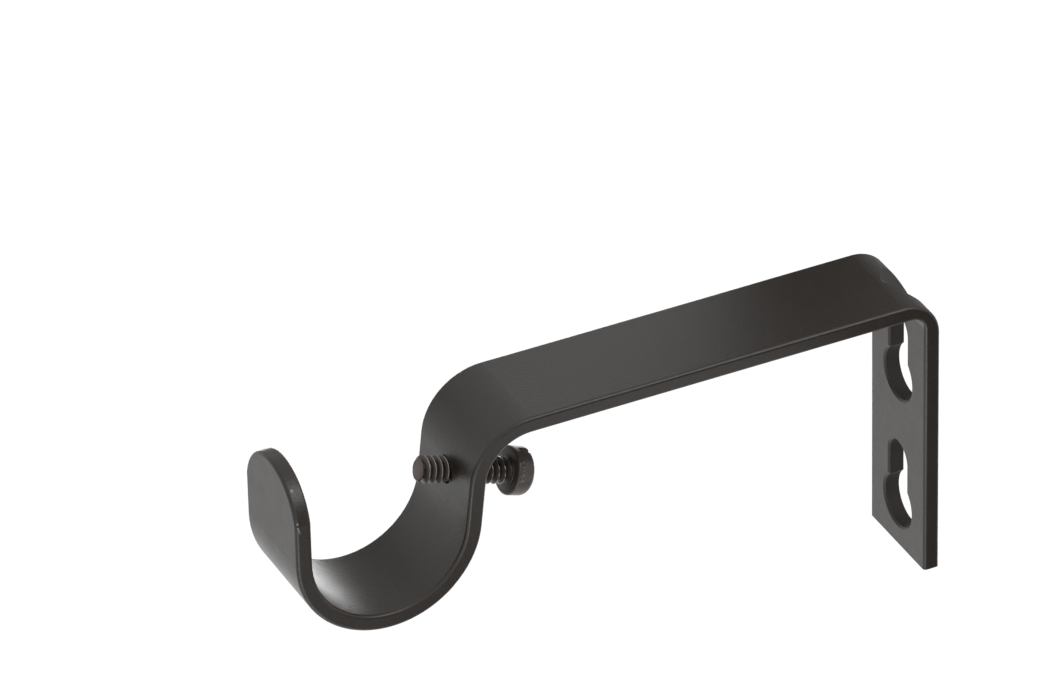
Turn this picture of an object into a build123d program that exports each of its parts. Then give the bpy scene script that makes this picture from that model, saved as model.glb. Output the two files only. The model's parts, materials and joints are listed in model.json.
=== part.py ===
from build123d import *
import os
from math import cos, radians, sin, sqrt, tan

# Flat strip the bracket is folded from
strip_width = 20.0
strip_thickness = 3.0
rolled_edge_radius = 0.6

# Wall plate with two keyholes, one above the other
plate_height = 56.4
keyhole_pitch = 27.0
entry_hole_diameter = 10.0
slot_width = 6.6
slot_rise = 9.3
keyhole_edge_break = 0.35
lowest_hole_to_foot = 8.9

# Fold between plate and arm, with a stiffening dart pressed into it
fold_outer_radius = 7.0
fold_inner_radius = 2.6
dart_width = 11.0
dart_depth = 1.7
dart_bottom_radius = 2.5
dart_root = 1.0

# Arm, drop, neck, cradle and lip that carry the pole
arm_straight_end = 79.1
drop_outer_radius = 11.9
neck_slope = 83.5
neck_length = 8.1
cradle_radius = 14.6
lip_length = 16.75
punch_oversize = 0.2

# Clamp screw: threaded shank, thin collar and slotted pan head
thread_diameter = 4.9
thread_length = 17.4
tip_chamfer = 0.25
collar_diameter = 5.5
collar_length = 0.3
head_diameter = 8.7
head_height = 3.7
head_crown_radius = 1.3
head_edge_break = 0.4
driver_slot_width = 1.4
driver_slot_depth = 2.5
driver_slot_angle = 84.0
screw_from_drop = 2.4
screw_tilt = 18.5
screw_reach = 5.4
thread_clearance = 0.05

# The origin lies on the wall face, midway between the two entry holes: +Y into the wall, -Y out to the pole
plate_foot = -keyhole_pitch / 2 - lowest_hole_to_foot
arm_top = plate_foot + plate_height
half_width = strip_width / 2
lip_end_radius = half_width + punch_oversize
wall_side = Plane.XZ


def draw_face(depth, fold_radius, drop_radius, seat_radius):
    """Draws one face of the strip in side view, from plate foot to lip end, and returns its two ends."""
    plate = Line((-depth, plate_foot), (-depth, arm_top - depth - fold_radius))
    fold = JernArc(plate @ 1, plate % 1, fold_radius, 90)
    arm = Line(fold @ 1, (-arm_straight_end, arm_top - depth))
    drop = JernArc(arm @ 1, arm % 1, drop_radius, neck_slope)
    neck = Line(drop @ 1, drop @ 1 + (drop % 1) * neck_length)
    seat = JernArc(neck @ 1, neck % 1, seat_radius, -neck_slope - 90)
    lip = Line(seat @ 1, seat @ 1 + (seat % 1) * lip_length)
    return plate @ 0, lip @ 1


# Middle line of the strip where the neck starts, and the centre of the cradle
slope = radians(neck_slope)
drop_mid_radius = drop_outer_radius - strip_thickness / 2
neck_y = -arm_straight_end - drop_mid_radius * sin(slope)
neck_z = arm_top - strip_thickness / 2 - drop_mid_radius * (1 - cos(slope))
seat_mid_radius = cradle_radius + strip_thickness / 2
cradle_y = neck_y - neck_length * cos(slope) - seat_mid_radius * sin(slope)
cradle_z = neck_z - neck_length * sin(slope) + seat_mid_radius * cos(slope)
lip_top = cradle_z + lip_length
lip_front = cradle_y - cradle_radius - strip_thickness

# Screw axis: through the middle of the neck, tilted up towards the pole
tilt = radians(screw_tilt)
screw_axis = Vector(0, -cos(tilt), sin(tilt))
screw_centre = Vector(
    0,
    neck_y - screw_from_drop * cos(slope),
    neck_z - screw_from_drop * sin(slope),
)
skew = radians(90 - neck_slope) - tilt
half_crossing = strip_thickness / 2 / cos(skew)
screw_hole_radius = thread_diameter / 2 + thread_clearance
screw_hole_depth = half_crossing + screw_hole_radius * tan(abs(skew)) + strip_thickness / 2

# Mid-points of the fold's outer and inner faces, on the diagonal of the corner
diagonal = sqrt(2)
fold_outer_inset = fold_outer_radius * (diagonal - 1)
fold_inner_inset = strip_thickness * diagonal + fold_inner_radius * (diagonal - 1)
dart_outward = Vector(0, 1, 1).normalized()
dart_along = Vector(0, -1, 1).normalized()
fold_corner = Vector(0, 0, arm_top)
ridge_half_length = fold_inner_radius * (diagonal - 1) + dart_depth + dart_root

# Section of the dart: a V with a round bottom, at its full width from the fold's face outwards
dart_side = dart_width / 2
with BuildSketch() as dart_section:
    with BuildLine():
        Polyline(
            (0, -dart_depth),
            (dart_side, 0),
            (dart_side, dart_root),
            (-dart_side, dart_root),
            (-dart_side, 0),
            close=True,
        )
    make_face()
    fillet(dart_section.vertices().sort_by(Axis.Y)[0], radius=dart_bottom_radius)

with BuildPart() as bracket_strip:
    with BuildSketch(Plane.YZ) as side_view:
        with BuildLine():
            outer_foot, outer_end = draw_face(0, fold_outer_radius, drop_outer_radius, cradle_radius)
            inner_foot, inner_end = draw_face(
                strip_thickness,
                fold_inner_radius,
                drop_outer_radius - strip_thickness,
                cradle_radius + strip_thickness,
            )
            Line(outer_foot, inner_foot)
            Line(outer_end, inner_end)
        make_face()
    extrude(amount=half_width, both=True)

    # Round end of the lip, punched a little wider than the strip, so it meets the sides at slight corners
    with BuildSketch(wall_side.offset(-lip_front)):
        with Locations((0, lip_top)):
            Rectangle(strip_width + lip_end_radius, 2 * lip_end_radius)
        with Locations((0, lip_top - lip_end_radius)):
            Circle(lip_end_radius, mode=Mode.SUBTRACT)
    extrude(amount=-strip_thickness, mode=Mode.SUBTRACT)

    # Rolled edges along the sides and round the lip's end; the sheared foot stays square
    foot = bracket_strip.faces().sort_by(Axis.Z)[0]
    round_faces = bracket_strip.faces().filter_by(GeomType.CYLINDER)
    lip_end = round_faces.sort_by_distance((0, lip_front, lip_top))[0]
    end_edges = lip_end.edges().filter_by(GeomType.CIRCLE)
    side_edges = bracket_strip.faces().filter_by(Axis.X).edges() - foot.edges() - lip_end.edges()
    fillet(side_edges + end_edges, radius=rolled_edge_radius)

    # Keyholes: round entry below, slot with a round top above, rims eased on the room side
    with BuildSketch(wall_side):
        with Locations((0, -keyhole_pitch / 2), (0, keyhole_pitch / 2)):
            Circle(entry_hole_diameter / 2)
            with Locations((0, slot_rise / 2)):
                SlotCenterToCenter(slot_rise, slot_width, rotation=90)
    extrude(amount=strip_thickness, mode=Mode.SUBTRACT)
    plate_front = bracket_strip.faces().filter_by(Axis.Y).sort_by_distance((0, -strip_thickness, 0))[0]
    chamfer(plate_front.inner_wires().edges(), length=keyhole_edge_break)

    # Dart: a ridge inside the fold and the groove that pressed it out
    ridge_centre = fold_corner - dart_outward * fold_inner_inset
    with BuildSketch(Plane(ridge_centre, x_dir=(1, 0, 0), z_dir=dart_along)):
        add(dart_section.sketch)
    extrude(amount=ridge_half_length, both=True)
    groove_centre = fold_corner - dart_outward * fold_outer_inset
    with BuildSketch(Plane(groove_centre, x_dir=(1, 0, 0), z_dir=dart_along)):
        add(dart_section.sketch)
    extrude(amount=fold_outer_radius, both=True, mode=Mode.SUBTRACT)

    # Hole for the clamp screw
    with BuildSketch(Plane(screw_centre, x_dir=(1, 0, 0), z_dir=screw_axis)):
        Circle(screw_hole_radius)
    extrude(amount=screw_hole_depth, both=True, mode=Mode.SUBTRACT)

# Screw axis from the tip to the head: sizes along it are measured from the tip
screw_tip = screw_centre + screw_axis * (half_crossing + screw_reach)
shank_length = thread_length + collar_length
screw_length = shank_length + head_height
head_back = screw_tip - screw_axis * screw_length


def head_rim(end):
    """Returns the rim edge of the screw's head on its shank side (0) or its driver side (-1)."""
    rims = clamp_screw.edges().filter_by(GeomType.CIRCLE).sort_by(SortBy.RADIUS)[-2:]
    return rims.sort_by(Axis(screw_tip, -screw_axis))[end]


with BuildPart() as clamp_screw:
    with BuildSketch(Plane(screw_tip, x_dir=(1, 0, 0), z_dir=(0, sin(tilt), cos(tilt)))) as half_section:
        with BuildLine():
            Polyline(
                (0, 0),
                (thread_diameter / 2 - tip_chamfer, 0),
                (thread_diameter / 2, tip_chamfer),
                (thread_diameter / 2, thread_length),
                (collar_diameter / 2, thread_length),
                (collar_diameter / 2, shank_length),
                (head_diameter / 2, shank_length),
                (head_diameter / 2, screw_length),
                (0, screw_length),
                close=True,
            )
        make_face()
    revolve(axis=Axis(screw_tip, screw_axis))
    fillet(head_rim(-1), radius=head_crown_radius)
    chamfer(head_rim(0), length=head_edge_break)
    with BuildSketch(Plane(head_back, x_dir=(1, 0, 0), z_dir=-screw_axis)):
        Rectangle(2 * head_diameter, driver_slot_width, rotation=-driver_slot_angle)
    extrude(amount=-driver_slot_depth, mode=Mode.SUBTRACT)

bracket_strip.part.label = "bracket_strip"
clamp_screw.part.label = "clamp_screw"

os.makedirs("parts", exist_ok=True)
export_step(bracket_strip.part, "parts/bracket_strip.step")
export_step(clamp_screw.part, "parts/clamp_screw.step")
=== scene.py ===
"""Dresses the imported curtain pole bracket: coated strip, threaded clamp screw, studio and camera."""

import json
from math import cos, hypot, radians, sin, tau

import bmesh
import bpy
from bpy.props import FloatProperty, FloatVectorProperty, IntProperty, PointerProperty
from bpy.types import Operator, Panel, PropertyGroup
from mathutils import Matrix, Vector


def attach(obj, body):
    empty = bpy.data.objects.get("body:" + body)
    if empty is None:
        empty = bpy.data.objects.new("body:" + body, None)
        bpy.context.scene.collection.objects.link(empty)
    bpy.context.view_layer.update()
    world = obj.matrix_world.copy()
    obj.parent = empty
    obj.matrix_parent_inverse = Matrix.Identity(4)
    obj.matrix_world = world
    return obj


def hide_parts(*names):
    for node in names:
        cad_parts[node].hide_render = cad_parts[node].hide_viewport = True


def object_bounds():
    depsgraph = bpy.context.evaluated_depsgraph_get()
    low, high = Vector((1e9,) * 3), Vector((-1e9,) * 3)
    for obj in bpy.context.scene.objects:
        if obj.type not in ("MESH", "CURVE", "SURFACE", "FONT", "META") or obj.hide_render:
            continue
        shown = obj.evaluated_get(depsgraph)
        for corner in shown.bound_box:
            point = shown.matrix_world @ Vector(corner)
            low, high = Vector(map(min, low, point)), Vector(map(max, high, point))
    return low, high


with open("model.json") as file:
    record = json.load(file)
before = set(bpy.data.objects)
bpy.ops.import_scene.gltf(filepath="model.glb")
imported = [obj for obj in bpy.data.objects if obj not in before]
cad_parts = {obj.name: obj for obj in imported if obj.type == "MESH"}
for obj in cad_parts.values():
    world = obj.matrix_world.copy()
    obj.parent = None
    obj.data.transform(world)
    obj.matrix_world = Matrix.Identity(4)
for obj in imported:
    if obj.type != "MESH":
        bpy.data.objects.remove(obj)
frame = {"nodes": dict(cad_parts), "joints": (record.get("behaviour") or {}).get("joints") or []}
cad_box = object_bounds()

bl_info = {
    "name": "Curtain Pole Bracket",
    "version": (1, 0, 0),
    "blender": (4, 5, 0),
    "location": "View3D > Sidebar > Bracket",
    "description": "Dresses a curtain pole bracket and sets up its studio",
    "category": "Object",
}

# Lengths are in metres, and those written in millimetres are multiplied by MM
MM = 0.001
WHITE = (1, 1, 1, 1)
ALONG_POLE = Vector((1, 0, 0))

# Photograph that the camera is set by, in pixels, and the camera's own values
PHOTO_WIDTH = 1050
PHOTO_HEIGHT = 693
SENSOR_WIDTH = 36.0
VIEW_END = 100.0

# Distances below which points count as one, in general and in cuts by a plane, and the angle of a sharp edge
NEAR_ENOUGH = 1e-6
CUT_NEAR = NEAR_ENOUGH / 10
SHARP_ANGLE = radians(35)

# Noise of the coat's grain and of its mottling, whose scale is a share of the grain's
GRAIN_DETAIL = 2.0
MOTTLE_DETAIL = 3.0
MOTTLE_SHARE = 0.12

# Chips on the lip's near edge, the last four as one scratch: centre and radius in millimetres
CHIPS = (
    ((6.88, -122.95, 31.13), 0.21),
    ((6.75, -123.0, 31.27), 0.17),
    ((9.84, -123.5, 26.25), 0.2),
    ((9.93, -123.5, 25.5), 0.14),
    ((9.97, -123.4, 25.2), 0.14),
    ((9.98, -123.3, 24.85), 0.14),
    ((9.99, -123.2, 24.5), 0.13),
)

# Ragged rims of the chips: size of their noise, its middle value and how far it moves the rim
CHIP_NOISE_SIZE = 0.7 * MM
CHIP_NOISE_MIDDLE = (0.5, 0.5, 0.5)
CHIP_RIM_SHIFT = 0.15 * MM

# Box round the keyholes' walls, clear of the plate's faces: centre and half sizes in millimetres
WALL_CENTRE = (0.0, -1.35, 2.15)
WALL_REACH = (5.05, 1.28, 24.2)

# Wear and painted light on the screw's coat: 0 in the roots, painted dark as shade, PLAIN where it is whole
# and 1 on the bare crests
WEAR_AND_PAINTED_LIGHT = "worn"
PLAIN = 0.5
BARE_START = 0.85
# How far the lumps' tops are bared lighter, partly as wear and partly as a painted highlight
LUMP_WEAR_AND_HIGHLIGHT = 0.55

# Thread profile in parts of a pitch: end of the root's flat, starts of the crest's rounding and of its flat
ROOT_FLAT_END = 0.1
CREST_ROUND_START = 0.43
CREST_FLAT_START = 0.47

# Pitches that the spun thread starts below the tip, and turns that it has to spare for the cuts at its ends
THREAD_LEAD = 1.5
SPARE_TURNS = 3

# Rings of points that carry the paint lumps, in lump radii from the middle of their row
LUMP_RINGS = (-1, -0.5, 0, 0.5, 1)

# Cards that show in the coat's reflections: name, shade of grey and two opposite corners in metres
CARDS = (
    ("floor_card", 0.09, (0.12, 0.0, -0.26), (1.2, 1.1, -0.26)),
    ("side_card", 0.05, (0.25, -0.06, -0.06), (0.25, 0.2, 0.13)),
    ("back_card", 0.04, (-0.06, -0.006, -0.02), (-0.06, 0.024, 0.15)),
    ("fold_card", 0.42, (-0.06, 0.024, -0.02), (-0.06, 0.06, 0.15)),
    ("corner_card", 0.26, (-0.06, 0.06, -0.04), (-0.06, 0.2, 0.15)),
    ("cradle_card", 0.5, (-0.06, -0.125, 0.015), (-0.06, -0.055, 0.06)),
)


class CoatSettings(PropertyGroup):
    """Finish of the powder-coated strip."""

    colour: FloatVectorProperty(
        name="Coat colour", description="Colour of the black powder coat", subtype="COLOR", size=3,
        min=0, max=1, default=(0.0158, 0.0117, 0.0088))
    chip_colour: FloatVectorProperty(
        name="Chip colour", description="Colour of the bare spots on the lip", subtype="COLOR", size=3,
        min=0, max=1, default=(0.19, 0.182, 0.17))
    # A darker colour on the keyholes' punched walls
    wall_colour: FloatVectorProperty(
        name="Wall colour", description="Colour of the thin coat on the keyholes' punched walls",
        subtype="COLOR", size=3, min=0, max=1, default=(0.014, 0.0105, 0.0085))
    roughness: FloatProperty(
        name="Roughness", description="Roughness of the satin coat", subtype="FACTOR", min=0, max=1,
        default=0.38)
    mottle: FloatProperty(
        name="Mottling", description="How far the roughness goes up and down over the coat", subtype="FACTOR",
        min=0, max=1, default=0.05)
    wall_dulling: FloatProperty(
        name="Wall dulling", description="Roughness that the keyholes' walls have on top", subtype="FACTOR",
        min=0, max=1, default=0.4)
    specular: FloatProperty(
        name="Reflections", description="Strength of the coat's reflections", subtype="FACTOR", min=0, max=1,
        default=0.46)
    grain: FloatProperty(
        name="Grain size", description="Width of one grain of the sandy coat", unit="LENGTH",
        default=0.4 * MM)
    grain_depth: FloatProperty(
        name="Grain depth", description="Height of the coat's grain", unit="LENGTH", default=0.038 * MM)


class ScrewSettings(PropertyGroup):
    """Sizes and finish of the clamp screw."""

    colour: FloatVectorProperty(
        name="Screw colour", description="Colour of the thin black coat on the screw", subtype="COLOR",
        size=3, min=0, max=1, default=(0.052, 0.042, 0.036))
    tip_colour: FloatVectorProperty(
        name="Tip colour", description="Colour of the browned end face of the tip", subtype="COLOR", size=3,
        min=0, max=1, default=(0.068, 0.036, 0.026))
    # Painted shade: the darker colour given to the thread's roots
    root_shade_colour: FloatVectorProperty(
        name="Root colour", description="Colour of the dark grease in the thread's roots", subtype="COLOR",
        size=3, min=0, max=1, default=(0.01, 0.008, 0.007))
    worn_colour: FloatVectorProperty(
        name="Worn colour", description="Colour of the thread's worn crests", subtype="COLOR", size=3,
        min=0, max=1, default=(0.34, 0.3, 0.27))
    roughness: FloatProperty(
        name="Roughness", description="Roughness of the coat on the screw", subtype="FACTOR", min=0, max=1,
        default=0.42)
    worn_roughness: FloatProperty(
        name="Worn roughness", description="Roughness of the thread's worn crests", subtype="FACTOR",
        min=0, max=1, default=0.26)
    specular: FloatProperty(
        name="Reflections", description="Strength of the coat's reflections", subtype="FACTOR", min=0, max=1,
        default=0.36)
    grain: FloatProperty(
        name="Grain size", description="Width of one grain of the screw's coat", unit="LENGTH",
        default=0.35 * MM)
    grain_depth: FloatProperty(
        name="Grain depth", description="Height of the grain on the screw", unit="LENGTH", default=0.01 * MM)
    pitch: FloatProperty(
        name="Pitch", description="Distance between two crests of the thread", unit="LENGTH",
        default=1.25 * MM)
    crest_radius: FloatProperty(
        name="Crest radius", description="Outer radius of the thread", unit="LENGTH", default=2.45 * MM)
    crest_break: FloatProperty(
        name="Crest break", description="Height of the rounding on the thread's crests", unit="LENGTH",
        default=0.05 * MM)
    root_radius: FloatProperty(
        name="Root radius", description="Inner radius of the thread", unit="LENGTH", default=1.65 * MM)
    thread_length: FloatProperty(
        name="Thread length", description="Length of the thread from the tip", unit="LENGTH",
        default=17.4 * MM)
    tip_radius: FloatProperty(
        name="Tip radius", description="Radius of the chamfered tip", unit="LENGTH", default=1.95 * MM)
    tip_depth: FloatProperty(
        name="Tip depth", description="How far the browning goes up from the end face", unit="LENGTH",
        default=0.25 * MM)
    collar_radius: FloatProperty(
        name="Collar radius", description="Radius of the collar under the head", unit="LENGTH",
        default=2.75 * MM)
    collar_length: FloatProperty(
        name="Collar length", description="Length of the collar under the head", unit="LENGTH",
        default=0.3 * MM)
    collar_slope: FloatProperty(
        name="Collar slope", description="Length of the slope from the thread to the collar", unit="LENGTH",
        default=0.06 * MM)
    collar_break: FloatProperty(
        name="Collar break", description="Rounding between the collar and the head", unit="LENGTH",
        default=0.08 * MM)
    head_radius: FloatProperty(
        name="Head radius", description="Radius of the pan head", unit="LENGTH", default=4.35 * MM)
    crown_radius: FloatProperty(
        name="Crown radius", description="Rounding of the head's driver side", unit="LENGTH",
        default=1.3 * MM)
    edge_break: FloatProperty(
        name="Edge break", description="Rounding of the head's shank side", unit="LENGTH", default=0.4 * MM)
    slot_width: FloatProperty(
        name="Slot width", description="Width of the driver slot", unit="LENGTH", default=1.4 * MM)
    slot_depth: FloatProperty(
        name="Slot depth", description="Depth of the driver slot", unit="LENGTH", default=2.5 * MM)
    slot_angle: FloatProperty(
        name="Slot angle", description="Turn of the driver slot", subtype="ANGLE", default=radians(-84))
    lump_place: FloatProperty(
        name="Lump place", description="From the head's bearing face to its row of paint lumps",
        unit="LENGTH", default=0.9 * MM)
    lump_height: FloatProperty(
        name="Lump height", description="Height of the paint lumps on the head's side", unit="LENGTH",
        default=0.3 * MM)
    lump_radius: FloatProperty(
        name="Lump radius", description="Radius of one paint lump", unit="LENGTH", default=0.45 * MM)
    lump_angles: FloatVectorProperty(
        name="Lump angles", description="Places of the paint lumps round the head", size=5,
        default=(radians(313), radians(323.5), radians(332), radians(342.5), radians(353.5)))
    sides: IntProperty(
        name="Sides", description="Facets round the screw", min=16, max=192, default=120)


class StudioSettings(PropertyGroup):
    """Camera, floor and light."""

    azimuth: FloatProperty(
        name="Azimuth", description="Turn of the camera round the bracket", subtype="ANGLE",
        default=radians(64.36))
    elevation: FloatProperty(
        name="Elevation", description="Height of the camera's view", subtype="ANGLE", default=radians(33.456))
    roll: FloatProperty(
        name="Roll", description="Tilt of the camera about its own view", subtype="ANGLE",
        default=radians(-1.315))
    distance: FloatProperty(
        name="Distance", description="From the camera to the aimed point", unit="LENGTH", default=1.63825)
    focal_pixels: FloatProperty(
        name="Focal length", description="Focal length in pixels of the photograph", default=9481.6)
    aim: FloatVectorProperty(
        name="Aimed point", description="Point on the arm that the camera is set by", subtype="TRANSLATION",
        size=3, default=(0.0, -60 * MM, 19 * MM))
    aim_pixel: FloatVectorProperty(
        name="Aimed pixel", description="Pixel of the photograph that shows the aimed point", size=2,
        default=(606.96, 432.98))
    floor_drop: FloatProperty(
        name="Floor drop", description="From the bracket's lowest point down to the floor", unit="LENGTH",
        default=0.55)
    floor_width: FloatProperty(
        name="Floor width", description="Side of the square floor", unit="LENGTH", default=12.0)
    floor_colour: FloatVectorProperty(
        name="Floor colour", description="Colour of the pale floor", subtype="COLOR", size=3, min=0, max=1,
        default=(0.8, 0.8, 0.8))
    floor_glow: FloatProperty(
        name="Floor glow", description="White that the camera and reflections see on the lit floor",
        default=0.46)
    world_strength: FloatProperty(
        name="Surroundings", description="Brightness of the white surroundings", default=0.65)
    key_power: FloatProperty(
        name="Key power", description="Power of the overhead soft light", subtype="POWER", default=4.5)
    back_power: FloatProperty(
        name="Back power", description="Power of the low light behind the cradle", subtype="POWER",
        default=6.0)
    fill_power: FloatProperty(
        name="Fill power", description="Power of the small light beside the arm", subtype="POWER",
        default=0.0075)
    edge_power: FloatProperty(
        name="Edge power", description="Power of the low light in front of the lip", subtype="POWER",
        default=0.2)


def new_material(name):
    """Returns a fresh node material, its node tree and its shader."""
    material = bpy.data.materials.new(name)
    material.use_nodes = True
    tree = material.node_tree
    return material, tree, tree.nodes["Principled BSDF"]


def add_node(tree, kind, **values):
    """Adds a node and sets its properties."""
    node = tree.nodes.new(kind)
    for key, value in values.items():
        setattr(node, key, value)
    return node


def join_masks(tree, masks, operation):
    """Joins two or more masks by one maths operation and returns the socket of the joint mask."""
    joint = masks[0]
    for mask in masks[1:]:
        both = add_node(tree, "ShaderNodeMath", operation=operation)
        tree.links.new(joint, both.inputs[0])
        tree.links.new(mask, both.inputs[1])
        joint = both.outputs[0]
    return joint


def mix_colours(tree, mask, plain, marked):
    """Adds a mix from a plain colour, or another mix's socket, to a marked colour and returns its socket."""
    mix = add_node(tree, "ShaderNodeMix", data_type="RGBA")
    sockets = {socket.identifier: socket for socket in mix.inputs}
    tree.links.new(mask, sockets["Factor_Float"])
    if isinstance(plain, bpy.types.NodeSocket):
        tree.links.new(plain, sockets["A_Color"])
    else:
        sockets["A_Color"].default_value = (*plain, 1)
    sockets["B_Color"].default_value = (*marked, 1)
    return next(socket for socket in mix.outputs if socket.identifier == "Result_Color")


def grain_group():
    """Node group: the height of a fine sandy coat and its broader mottling."""
    name = "Coat grain"
    if name in bpy.data.node_groups:
        return bpy.data.node_groups[name]
    group = bpy.data.node_groups.new(name, "ShaderNodeTree")
    group.interface.new_socket("Grain size", in_out="INPUT", socket_type="NodeSocketFloat")
    group.interface.new_socket("Height", in_out="OUTPUT", socket_type="NodeSocketFloat")
    group.interface.new_socket("Mottle", in_out="OUTPUT", socket_type="NodeSocketFloat")
    start = group.nodes.new("NodeGroupInput")
    end = group.nodes.new("NodeGroupOutput")
    place = group.nodes.new("ShaderNodeTexCoord")
    scale = add_node(group, "ShaderNodeMath", operation="DIVIDE")
    scale.inputs[0].default_value = 1.0
    fine = group.nodes.new("ShaderNodeTexNoise")
    fine.inputs["Detail"].default_value = GRAIN_DETAIL
    broad = group.nodes.new("ShaderNodeTexNoise")
    broad.inputs["Detail"].default_value = MOTTLE_DETAIL
    broad_scale = add_node(group, "ShaderNodeMath", operation="MULTIPLY")
    broad_scale.inputs[1].default_value = MOTTLE_SHARE
    links = group.links
    links.new(start.outputs["Grain size"], scale.inputs[1])
    links.new(scale.outputs[0], fine.inputs["Scale"])
    links.new(scale.outputs[0], broad_scale.inputs[0])
    links.new(broad_scale.outputs[0], broad.inputs["Scale"])
    links.new(place.outputs["Object"], fine.inputs["Vector"])
    links.new(place.outputs["Object"], broad.inputs["Vector"])
    links.new(fine.outputs["Fac"], end.inputs["Height"])
    links.new(broad.outputs["Fac"], end.inputs["Mottle"])
    return group


def chip_group():
    """Node group: the mask of one small chip with a ragged rim."""
    group = bpy.data.node_groups.new("Coat chip", "ShaderNodeTree")
    group.interface.new_socket("Centre", in_out="INPUT", socket_type="NodeSocketVector")
    group.interface.new_socket("Radius", in_out="INPUT", socket_type="NodeSocketFloat")
    group.interface.new_socket("Mask", in_out="OUTPUT", socket_type="NodeSocketFloat")
    start = group.nodes.new("NodeGroupInput")
    end = group.nodes.new("NodeGroupOutput")
    place = group.nodes.new("ShaderNodeTexCoord")
    ragged = group.nodes.new("ShaderNodeTexNoise")
    ragged.inputs["Scale"].default_value = 1 / CHIP_NOISE_SIZE
    wander = add_node(group, "ShaderNodeVectorMath", operation="SUBTRACT")
    wander.inputs[1].default_value = CHIP_NOISE_MIDDLE
    shift = add_node(group, "ShaderNodeVectorMath", operation="SCALE")
    shift.inputs["Scale"].default_value = CHIP_RIM_SHIFT
    moved = add_node(group, "ShaderNodeVectorMath", operation="ADD")
    apart = add_node(group, "ShaderNodeVectorMath", operation="DISTANCE")
    inside = add_node(group, "ShaderNodeMath", operation="LESS_THAN")
    links = group.links
    links.new(place.outputs["Object"], ragged.inputs["Vector"])
    links.new(ragged.outputs["Color"], wander.inputs[0])
    links.new(wander.outputs[0], shift.inputs[0])
    links.new(place.outputs["Object"], moved.inputs[0])
    links.new(shift.outputs[0], moved.inputs[1])
    links.new(moved.outputs[0], apart.inputs[0])
    links.new(start.outputs["Centre"], apart.inputs[1])
    links.new(apart.outputs["Value"], inside.inputs[0])
    links.new(start.outputs["Radius"], inside.inputs[1])
    links.new(inside.outputs[0], end.inputs["Mask"])
    return group


def chip_mask(tree):
    """Adds all chips of the lip to a material and returns the socket of their joint mask."""
    group = chip_group()
    masks = []
    for centre, radius in CHIPS:
        chip = add_node(tree, "ShaderNodeGroup", node_tree=group)
        chip.inputs["Centre"].default_value = Vector(centre) * MM
        chip.inputs["Radius"].default_value = radius * MM
        masks.append(chip.outputs["Mask"])
    return join_masks(tree, masks, "MAXIMUM")


def wall_mask(tree):
    """Adds the mask of the keyholes' walls to a material and returns its socket."""
    place = tree.nodes.new("ShaderNodeTexCoord")
    centre = add_node(tree, "ShaderNodeVectorMath", operation="SUBTRACT")
    centre.inputs[1].default_value = Vector(WALL_CENTRE) * MM
    apart = add_node(tree, "ShaderNodeVectorMath", operation="ABSOLUTE")
    axes = tree.nodes.new("ShaderNodeSeparateXYZ")
    links = tree.links
    links.new(place.outputs["Object"], centre.inputs[0])
    links.new(centre.outputs[0], apart.inputs[0])
    links.new(apart.outputs[0], axes.inputs[0])
    masks = []
    for axis, reach in zip("XYZ", WALL_REACH):
        inside = add_node(tree, "ShaderNodeMath", operation="LESS_THAN")
        inside.inputs[1].default_value = reach * MM
        links.new(axes.outputs[axis], inside.inputs[0])
        masks.append(inside.outputs[0])
    return join_masks(tree, masks, "MULTIPLY")


def coat_material(coat):
    """Satin black powder coat with a fine sandy grain, a few chips on the lip and dull keyhole walls."""
    material, tree, shader = new_material("Black powder coat")
    shader.inputs["Specular IOR Level"].default_value = coat.specular
    grain = add_node(tree, "ShaderNodeGroup", node_tree=grain_group())
    grain.inputs["Grain size"].default_value = coat.grain
    bump = tree.nodes.new("ShaderNodeBump")
    bump.inputs["Distance"].default_value = coat.grain_depth
    rough = tree.nodes.new("ShaderNodeMapRange")
    rough.inputs["To Min"].default_value = coat.roughness - coat.mottle
    rough.inputs["To Max"].default_value = coat.roughness + coat.mottle
    walls = wall_mask(tree)
    duller = add_node(tree, "ShaderNodeMath", operation="MULTIPLY_ADD")
    duller.inputs[1].default_value = coat.wall_dulling
    # The keyholes' walls are coloured darker than the rest of the coat
    coated = mix_colours(tree, walls, coat.colour, coat.wall_colour)
    chipped = mix_colours(tree, chip_mask(tree), coated, coat.chip_colour)
    links = tree.links
    links.new(chipped, shader.inputs["Base Color"])
    links.new(grain.outputs["Height"], bump.inputs["Height"])
    links.new(bump.outputs["Normal"], shader.inputs["Normal"])
    links.new(grain.outputs["Mottle"], rough.inputs["Value"])
    links.new(walls, duller.inputs[0])
    links.new(rough.outputs["Result"], duller.inputs[2])
    links.new(duller.outputs[0], shader.inputs["Roughness"])
    return material


def screw_axis():
    """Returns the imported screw's direction from tip to head, its tip and its length."""
    feed = next(joint for joint in frame["joints"] if joint["child"] == "screw")
    to_head = -Vector(feed["axis"]).normalized()
    across = to_head.cross(ALONG_POLE)
    points = [vertex.co for vertex in frame["nodes"]["clamp_screw"].data.vertices]
    start = min(point.dot(to_head) for point in points)
    end = max(point.dot(to_head) for point in points)
    offsets = [point.dot(across) for point in points]
    tip = to_head * start + across * (min(offsets) + max(offsets)) / 2
    return to_head, tip, end - start


def tip_mask(tree, depth):
    """Adds the mask of the screw's end, down to a depth, to a material and returns its socket."""
    to_head, tip, _ = screw_axis()
    place = tree.nodes.new("ShaderNodeTexCoord")
    along = add_node(tree, "ShaderNodeVectorMath", operation="DOT_PRODUCT")
    along.inputs[1].default_value = to_head
    inside = add_node(tree, "ShaderNodeMath", operation="LESS_THAN")
    inside.inputs[1].default_value = tip.dot(to_head) + depth
    tree.links.new(place.outputs["Object"], along.inputs[0])
    tree.links.new(along.outputs["Value"], inside.inputs[0])
    return inside.outputs[0]


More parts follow.
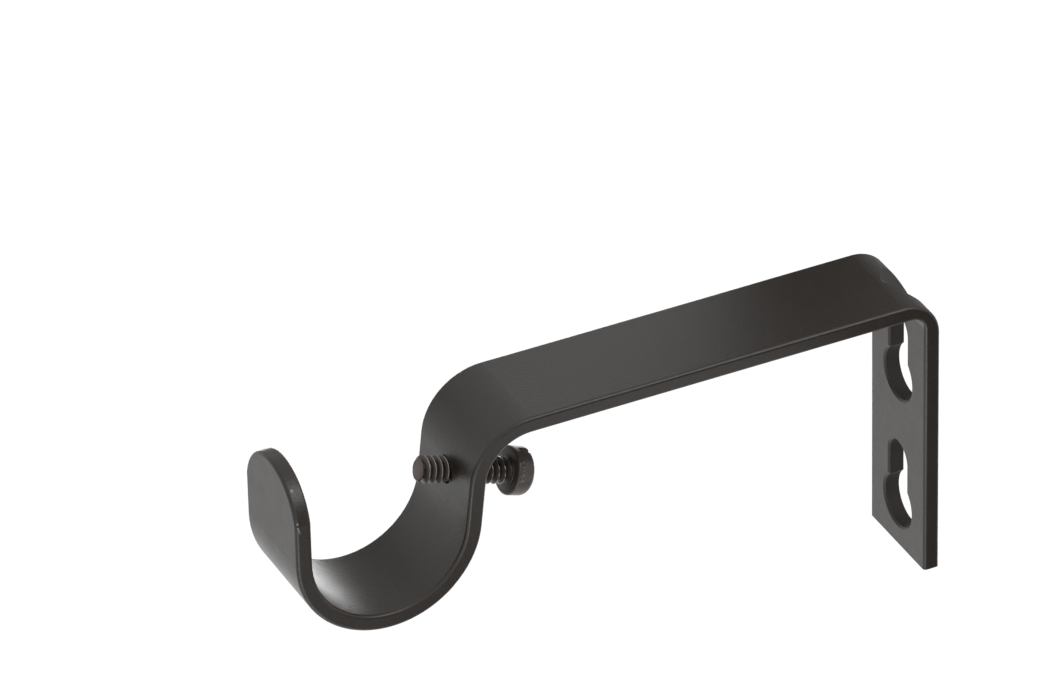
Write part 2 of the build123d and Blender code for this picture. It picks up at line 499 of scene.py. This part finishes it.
def screw_material(screw):
    """Thin brownish black coat on the screw, bare on the thread's crests, with painted shade darkening its
    roots.
    """
    material, tree, shader = new_material("Blackened screw")
    shader.inputs["Specular IOR Level"].default_value = screw.specular
    grain = add_node(tree, "ShaderNodeGroup", node_tree=grain_group())
    grain.inputs["Grain size"].default_value = screw.grain
    bump = tree.nodes.new("ShaderNodeBump")
    bump.inputs["Distance"].default_value = screw.grain_depth
    worn = add_node(tree, "ShaderNodeAttribute", attribute_name=WEAR_AND_PAINTED_LIGHT)
    crest = tree.nodes.new("ShaderNodeMapRange")
    crest.inputs["From Min"].default_value = BARE_START
    root = tree.nodes.new("ShaderNodeMapRange")
    root.inputs["From Min"].default_value = PLAIN
    root.inputs["From Max"].default_value = 0.0
    shine = tree.nodes.new("ShaderNodeMapRange")
    shine.inputs["To Min"].default_value = screw.roughness
    shine.inputs["To Max"].default_value = screw.worn_roughness
    # Painted shade: the roots are mixed towards the darker root colour
    root_shaded = mix_colours(tree, root.outputs["Result"], screw.colour, screw.root_shade_colour)
    bared = mix_colours(tree, crest.outputs["Result"], root_shaded, screw.worn_colour)
    browned = mix_colours(tree, tip_mask(tree, screw.tip_depth), bared, screw.tip_colour)
    links = tree.links
    links.new(browned, shader.inputs["Base Color"])
    links.new(worn.outputs["Fac"], crest.inputs["Value"])
    links.new(worn.outputs["Fac"], root.inputs["Value"])
    links.new(crest.outputs["Result"], shine.inputs["Value"])
    links.new(shine.outputs["Result"], shader.inputs["Roughness"])
    links.new(crest.outputs["Result"], shader.inputs["Metallic"])
    links.new(grain.outputs["Height"], bump.inputs["Height"])
    links.new(bump.outputs["Normal"], shader.inputs["Normal"])
    return material


def radius_of(vertex):
    """Distance of a vertex from the screw's own axis."""
    return hypot(vertex.co.x, vertex.co.y)


def at_height(vertex, height):
    """Whether a vertex lies at one height along the screw's axis."""
    return abs(vertex.co.z - height) < NEAR_ENOUGH


def open_edges(bm, height):
    """The open rim edges that lie at one height along the screw's axis."""
    return [
        edge for edge in bm.edges
        if edge.is_boundary and all(at_height(vertex, height) for vertex in edge.verts)
    ]


def ring_edges(bm, radius, height):
    """The edges of one ring round the screw's axis."""
    return [
        edge for edge in bm.edges
        if all(at_height(v, height) and abs(radius_of(v) - radius) < NEAR_ENOUGH for v in edge.verts)
    ]


def spin_profile(bm, points, turns, rise, sides, closed):
    """Spins an outline of (radius, height) points round the axis, with a rise in each turn."""
    verts = [bm.verts.new((radius, 0, height)) for radius, height in points]
    edges = [bm.edges.new(pair) for pair in zip(verts, verts[1:])]
    bmesh.ops.spin(
        bm, geom=verts + edges, cent=(0, 0, 0), axis=(0, 0, 1), dvec=(0, 0, rise / sides),
        angle=tau * turns, steps=sides * turns, use_merge=closed)
    bmesh.ops.remove_doubles(bm, verts=bm.verts, dist=NEAR_ENOUGH)


def cut_thread(bm, screw):
    """Makes the thread as one helical wall, cut square at both ends, with a chamfered tip, worn crests and
    roots marked for painted shade.
    """
    pitch = screw.pitch
    crest, root = screw.crest_radius, screw.root_radius
    shoulder = crest - screw.crest_break
    turns = int(screw.thread_length / pitch) + SPARE_TURNS
    profile = [
        (root, 0.0), (root, ROOT_FLAT_END),
        (shoulder, CREST_ROUND_START), (crest, CREST_FLAT_START),
        (crest, 1 - CREST_FLAT_START), (shoulder, 1 - CREST_ROUND_START),
        (root, 1 - ROOT_FLAT_END), (root, 1.0),
    ]
    lowered = [(radius, (height - THREAD_LEAD) * pitch) for radius, height in profile]
    spin_profile(bm, lowered, turns, pitch, screw.sides, closed=False)
    for height, normal in ((0.0, (0, 0, -1)), (screw.thread_length, (0, 0, 1))):
        bmesh.ops.bisect_plane(
            bm, geom=bm.verts[:] + bm.edges[:] + bm.faces[:], dist=CUT_NEAR, plane_co=(0, 0, height),
            plane_no=normal, clear_outer=True)
    # Wear and painted light for each point: 0 in the roots, painted dark as shade, up to 1 on the bare crests
    worn = bm.verts.layers.float.new(WEAR_AND_PAINTED_LIGHT)
    for vertex in bm.verts:
        vertex[worn] = max(0.0, radius_of(vertex) - root) / (crest - root)
        limit = screw.tip_radius + vertex.co.z
        if radius_of(vertex) > limit:
            vertex.co.xy *= limit / radius_of(vertex)
            vertex[worn] = PLAIN
    bmesh.ops.holes_fill(bm, edges=open_edges(bm, 0.0), sides=0)


def turn_head(bm, screw, length):
    """Turns the collar and the pan head, rounds the head's rims and raises the paint lumps on its side, with
    lighter tops that are partly a painted highlight.
    """
    collar_start = screw.thread_length + screw.collar_slope
    bearing = screw.thread_length + screw.collar_length
    lumps = bearing + screw.lump_place
    thread_rim = open_edges(bm, screw.thread_length)
    outline = [
        (screw.collar_radius, collar_start), (screw.collar_radius, bearing), (screw.head_radius, bearing),
        *((screw.head_radius, lumps + step * screw.lump_radius) for step in LUMP_RINGS),
        (screw.head_radius, length), (0.0, length),
    ]
    spin_profile(bm, outline, 1, 0.0, screw.sides, closed=True)
    worn = bm.verts.layers.float[WEAR_AND_PAINTED_LIGHT]
    for vertex in bm.verts:
        if at_height(vertex, 0.0) or vertex.co.z > screw.thread_length:
            vertex[worn] = PLAIN
    bmesh.ops.bridge_loops(bm, edges=thread_rim + open_edges(bm, collar_start))
    for radius, height, round_off, segments in (
        (screw.head_radius, length, screw.crown_radius, 8),
        (screw.head_radius, bearing, screw.edge_break, 3),
        (screw.collar_radius, bearing, screw.collar_break, 2),
    ):
        bmesh.ops.bevel(
            bm, geom=ring_edges(bm, radius, height), offset=round_off, offset_type="OFFSET", affect="EDGES",
            segments=segments, profile=0.5, material=-1)
    tops = [
        Vector((cos(angle) * screw.head_radius, sin(angle) * screw.head_radius, lumps))
        for angle in screw.lump_angles
    ]
    for vertex in bm.verts:
        near = 1 - min((vertex.co - top).length for top in tops) / screw.lump_radius
        if near > 0:
            vertex.co.xy *= 1 + screw.lump_height * near * (2 - near) / screw.head_radius
            # Lighter, bared lump tops: partly wear, partly a painted highlight
            vertex[worn] = min(1.0, PLAIN + LUMP_WEAR_AND_HIGHLIGHT * near)


def cut_slot(bm, screw, length):
    """Cuts the driver slot across the head."""
    turn = Matrix.Rotation(-screw.slot_angle, 3, "Z")
    bmesh.ops.rotate(bm, cent=(0, 0, 0), matrix=turn, verts=bm.verts)
    half = screw.slot_width / 2
    floor = length - screw.slot_depth
    bearing = screw.thread_length + screw.collar_length
    for place, normal in (
        ((0, half, 0), (0, 1, 0)),
        ((0, -half, 0), (0, -1, 0)),
        ((0, 0, floor), (0, 0, 1)),
    ):
        head = [face for face in bm.faces if face.calc_center_median().z > bearing + NEAR_ENOUGH]
        around = {part for face in head for part in (*face.verts, *face.edges)}
        bmesh.ops.bisect_plane(bm, geom=list(around) + head, dist=CUT_NEAR, plane_co=place, plane_no=normal)
    waste = [
        face for face in bm.faces
        if face.calc_center_median().z > floor and abs(face.calc_center_median().y) < half
    ]
    bmesh.ops.delete(bm, geom=waste, context="FACES")
    rim = [edge for edge in bm.edges if edge.is_boundary]
    corners = {}
    for edge in rim:
        for vertex in edge.verts:
            if abs(abs(vertex.co.y) - half) < NEAR_ENOUGH and at_height(vertex, floor):
                corners[(vertex.co.x > 0, vertex.co.y > 0)] = vertex
    sills = [bm.edges.new((corners[(False, side)], corners[(True, side)])) for side in (False, True)]
    walls = [
        [edge for edge in rim if all(abs(vertex.co.y - side * half) < NEAR_ENOUGH for vertex in edge.verts)]
        for side in (-1, 1)
    ]
    base = [edge for edge in rim if all(at_height(vertex, floor) for vertex in edge.verts)]
    for wall, sill in zip(walls, sills):
        bmesh.ops.contextual_create(bm, geom=wall + [sill])
    bmesh.ops.contextual_create(bm, geom=base + sills)
    bmesh.ops.rotate(bm, cent=(0, 0, 0), matrix=turn.inverted(), verts=bm.verts)


def add_piece(name, bm, material):
    """Makes a mesh object of the finished shape, shaded smooth up to its sharp edges."""
    mesh = bpy.data.meshes.new(name)
    bmesh.ops.recalc_face_normals(bm, faces=bm.faces)
    bm.to_mesh(mesh)
    bm.free()
    mesh.shade_smooth()
    mesh.set_sharp_from_angle(angle=SHARP_ANGLE)
    mesh.materials.append(material)
    piece = bpy.data.objects.new(name, mesh)
    bpy.context.scene.collection.objects.link(piece)
    return piece


class BRACKET_OT_coat_strip(Operator):
    """Gives the folded strip its black powder coat"""

    bl_idname = "bracket.coat_strip"
    bl_label = "Coat Strip"

    def execute(self, context):
        strip = frame["nodes"]["bracket_strip"]
        strip.material_slots[0].material = coat_material(context.scene.bracket_coat)
        return {"FINISHED"}


class BRACKET_OT_make_screw(Operator):
    """Makes the clamp screw with its thread, collar and slotted head"""

    bl_idname = "bracket.make_screw"
    bl_label = "Make Clamp Screw"

    def execute(self, context):
        screw = context.scene.bracket_screw
        to_head, tip, length = screw_axis()
        bm = bmesh.new()
        cut_thread(bm, screw)
        turn_head(bm, screw, length)
        cut_slot(bm, screw, length)
        place = Matrix((ALONG_POLE, to_head.cross(ALONG_POLE), to_head)).transposed().to_4x4()
        place.translation = tip
        bmesh.ops.transform(bm, matrix=place, verts=bm.verts)
        piece = add_piece("threaded_clamp_screw", bm, screw_material(screw))
        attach(piece, "screw")
        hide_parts("clamp_screw")
        return {"FINISHED"}


def seen_mask(tree):
    """Adds the mask of what the camera, reflections and glass see, and returns its socket."""
    path = tree.nodes.new("ShaderNodeLightPath")
    rays = ("Is Camera Ray", "Is Glossy Ray", "Is Transmission Ray")
    return join_masks(tree, [path.outputs[ray] for ray in rays], "MAXIMUM")


def make_matt(shader, colour):
    """Sets a shader to one matt colour."""
    shader.inputs["Base Color"].default_value = (*colour, 1)
    shader.inputs["Roughness"].default_value = 1.0
    shader.inputs["Specular IOR Level"].default_value = 0.0


def floor_material(studio):
    """Pale matt floor, which the camera and the reflections see as white outside the shadow."""
    material, tree, shader = new_material("Pale floor")
    make_matt(shader, studio.floor_colour)
    shader.inputs["Emission Color"].default_value = WHITE
    glow = add_node(tree, "ShaderNodeMath", operation="MULTIPLY")
    glow.inputs[1].default_value = studio.floor_glow
    tree.links.new(seen_mask(tree), glow.inputs[0])
    tree.links.new(glow.outputs[0], shader.inputs["Emission Strength"])
    return material


def light_world(studio):
    """White surroundings that light the bracket evenly and show as white."""
    world = bpy.data.worlds.new("White surroundings")
    bpy.context.scene.world = world
    world.use_nodes = True
    tree = world.node_tree
    around = tree.nodes["Background"]
    around.inputs["Color"].default_value = WHITE
    around.inputs["Strength"].default_value = studio.world_strength
    shown = tree.nodes.new("ShaderNodeBackground")
    shown.inputs["Color"].default_value = WHITE
    mix = tree.nodes.new("ShaderNodeMixShader")
    tree.links.new(seen_mask(tree), mix.inputs["Fac"])
    tree.links.new(around.outputs[0], mix.inputs[1])
    tree.links.new(shown.outputs[0], mix.inputs[2])
    tree.links.new(mix.outputs[0], tree.nodes["World Output"].inputs["Surface"])


def add_softbox(name, power, aim, direction, distance, width, height):
    """Hangs a soft light at a distance from the aimed point, which it faces."""
    lamp = bpy.data.lights.new(name, "AREA")
    lamp.shape = "RECTANGLE"
    lamp.size = width
    lamp.size_y = height
    lamp.energy = power
    box = bpy.data.objects.new(name, lamp)
    toward = Vector(direction).normalized()
    box.location = aim + toward * distance
    box.rotation_mode = "QUATERNION"
    box.rotation_quaternion = toward.to_track_quat("Z", "Y")
    box.visible_camera = False
    bpy.context.scene.collection.objects.link(box)


def hang_lights(studio):
    """Hangs the two soft lights and the two small fill lights."""
    low, high = cad_box
    add_softbox(
        "Overhead softbox", studio.key_power, aim=(low + high) / 2, direction=(0.55, 0.36, 0.75),
        distance=1.2, width=0.6, height=0.6)
    add_softbox(
        "Low back softbox", studio.back_power, aim=Vector((0, low.y, low.z / 2)),
        direction=(-0.8, 0.5, -0.22), distance=0.8, width=0.65, height=0.65)
    add_softbox(
        "Side fill", studio.fill_power, aim=Vector((high.x, -58 * MM, 28 * MM)),
        direction=(0.752, 0.361, -0.551), distance=0.06, width=0.07, height=0.03)
    add_softbox(
        "Edge fill", studio.edge_power, aim=Vector((high.x, -107 * MM, 20 * MM)),
        direction=(0.79, -0.24, -0.551), distance=0.3, width=0.11, height=0.13)


def add_cards():
    """Stands matt cards outside the picture, which show only in the coat's reflections."""
    upright = Matrix.Rotation(radians(90), 3, "Y")
    for name, shade, low, high in CARDS:
        material, _, shader = new_material(name)
        make_matt(shader, (shade, shade, shade))
        low, high = Vector(low), Vector(high)
        span = high - low
        # A sheet one metre wide, set upright where the card has no depth in x, then scaled and put in place
        bm = bmesh.new()
        bmesh.ops.create_grid(bm, x_segments=1, y_segments=1, size=0.5)
        if span.x == 0:
            bmesh.ops.rotate(bm, cent=(0, 0, 0), matrix=upright, verts=bm.verts)
        bmesh.ops.scale(bm, vec=span, verts=bm.verts)
        bmesh.ops.translate(bm, vec=(low + high) / 2, verts=bm.verts)
        card = add_piece(name, bm, material)
        card.visible_camera = False
        card.visible_diffuse = False
        card.visible_shadow = False


def add_camera(studio):
    """Sets the camera so that the aimed point shows at its pixel of the photograph."""
    data = bpy.data.cameras.new("Photo camera")
    data.sensor_width = SENSOR_WIDTH
    data.lens = studio.focal_pixels * SENSOR_WIDTH / PHOTO_WIDTH
    data.clip_end = VIEW_END
    camera = bpy.data.objects.new("Photo camera", data)
    azimuth, elevation, roll = studio.azimuth, studio.elevation, studio.roll
    back = Vector((sin(azimuth) * cos(elevation), -cos(azimuth) * cos(elevation), sin(elevation)))
    level = Vector((cos(azimuth), sin(azimuth), 0))
    upright = back.cross(level)
    right = level * cos(roll) + upright * sin(roll)
    above = upright * cos(roll) - level * sin(roll)
    pixel = studio.distance / studio.focal_pixels
    across = (studio.aim_pixel[0] - PHOTO_WIDTH / 2) * pixel
    down = (studio.aim_pixel[1] - PHOTO_HEIGHT / 2) * pixel
    place = Matrix((right, above, back)).transposed().to_4x4()
    place.translation = Vector(studio.aim) + back * studio.distance - right * across + above * down
    camera.matrix_world = place
    bpy.context.scene.collection.objects.link(camera)
    bpy.context.scene.camera = camera


class BRACKET_OT_set_stage(Operator):
    """Sets the pale floor, the lights, the cards and the camera"""

    bl_idname = "bracket.set_stage"
    bl_label = "Set Stage"

    def execute(self, context):
        studio = context.scene.bracket_studio
        floor_height = cad_box[0].z - studio.floor_drop
        bm = bmesh.new()
        bmesh.ops.create_grid(bm, x_segments=1, y_segments=1, size=studio.floor_width / 2)
        bmesh.ops.translate(bm, vec=(0, 0, floor_height), verts=bm.verts)
        add_piece("pale_floor", bm, floor_material(studio))
        light_world(studio)
        hang_lights(studio)
        add_cards()
        add_camera(studio)
        context.scene.view_settings.view_transform = "Standard"
        return {"FINISHED"}


class BRACKET_PT_sidebar(Panel):
    """Lists the bracket's settings and steps"""

    bl_idname = "BRACKET_PT_sidebar"
    bl_label = "Curtain Pole Bracket"
    bl_space_type = "VIEW_3D"
    bl_region_type = "UI"
    bl_category = "Bracket"

    def draw(self, context):
        for operator, settings in STEPS:
            box = self.layout.box()
            box.operator(operator)
            group = getattr(context.scene, settings)
            for name in group.__annotations__:
                box.prop(group, name)


SETTINGS = {
    "bracket_coat": CoatSettings,
    "bracket_screw": ScrewSettings,
    "bracket_studio": StudioSettings,
}
STEPS = (
    ("bracket.coat_strip", "bracket_coat"),
    ("bracket.make_screw", "bracket_screw"),
    ("bracket.set_stage", "bracket_studio"),
)
CLASSES = (
    *SETTINGS.values(),
    BRACKET_OT_coat_strip,
    BRACKET_OT_make_screw,
    BRACKET_OT_set_stage,
    BRACKET_PT_sidebar,
)


def register():
    """Registers the classes and gives the scene its settings."""
    for cls in CLASSES:
        bpy.utils.register_class(cls)
    for name, group in SETTINGS.items():
        setattr(bpy.types.Scene, name, PointerProperty(type=group))


def unregister():
    """Takes the settings and the classes away again."""
    for name in SETTINGS:
        delattr(bpy.types.Scene, name)
    for cls in reversed(CLASSES):
        bpy.utils.unregister_class(cls)


def main():
    """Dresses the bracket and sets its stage."""
    register()
    bpy.ops.bracket.coat_strip()
    bpy.ops.bracket.make_screw()
    bpy.ops.bracket.set_stage()


if __name__ == "__main__":
    main()
